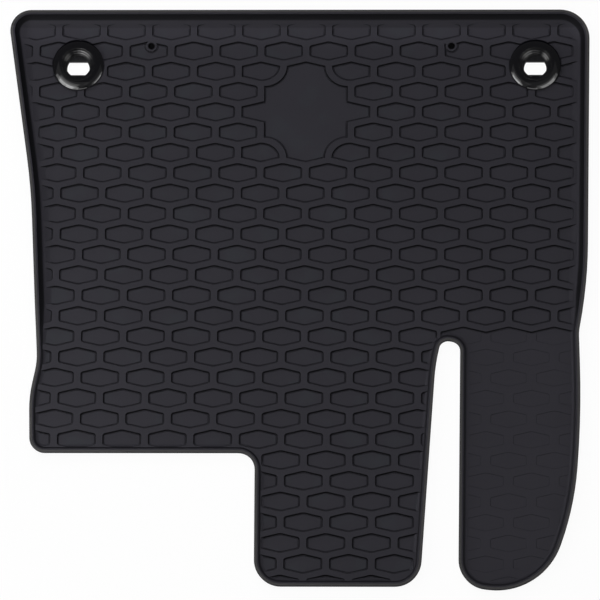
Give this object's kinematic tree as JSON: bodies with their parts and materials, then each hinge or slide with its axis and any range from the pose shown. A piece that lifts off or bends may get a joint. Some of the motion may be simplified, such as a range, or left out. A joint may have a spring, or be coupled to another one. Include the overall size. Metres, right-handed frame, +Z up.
{
  "type": "rubber car floor mat with eyelets",
  "caption": "Moulded rubber driver's footwell mat with a raised rim, honeycomb pockets, a pedal notch, a footrest leg and domed slotted eyelets.",
  "frame": {"origin": "centre of the mat's outline box, on the floor that the underside nubs rest on", "axes": "+Z up out of the tread face, +Y towards the seat edge with the eyelets, +X towards the footrest leg"},
  "size_m": [0.5891, 0.5972, 0.0165],
  "materials": {
    "mat_rubber": "moulded black rubber, fine matt grain, slightly glossier on the crest of the rim",
    "eyelet_plastic": "polished black plastic",
    "ring_plastic": "plain moulded black plastic"
  },
  "bodies": {
    "root": {"mat_body": "mat_rubber", "eyelet_left": "eyelet_plastic", "eyelet_right": "eyelet_plastic", "lock_ring_left": "ring_plastic", "lock_ring_right": "ring_plastic"}
  },
  "joints": []
}
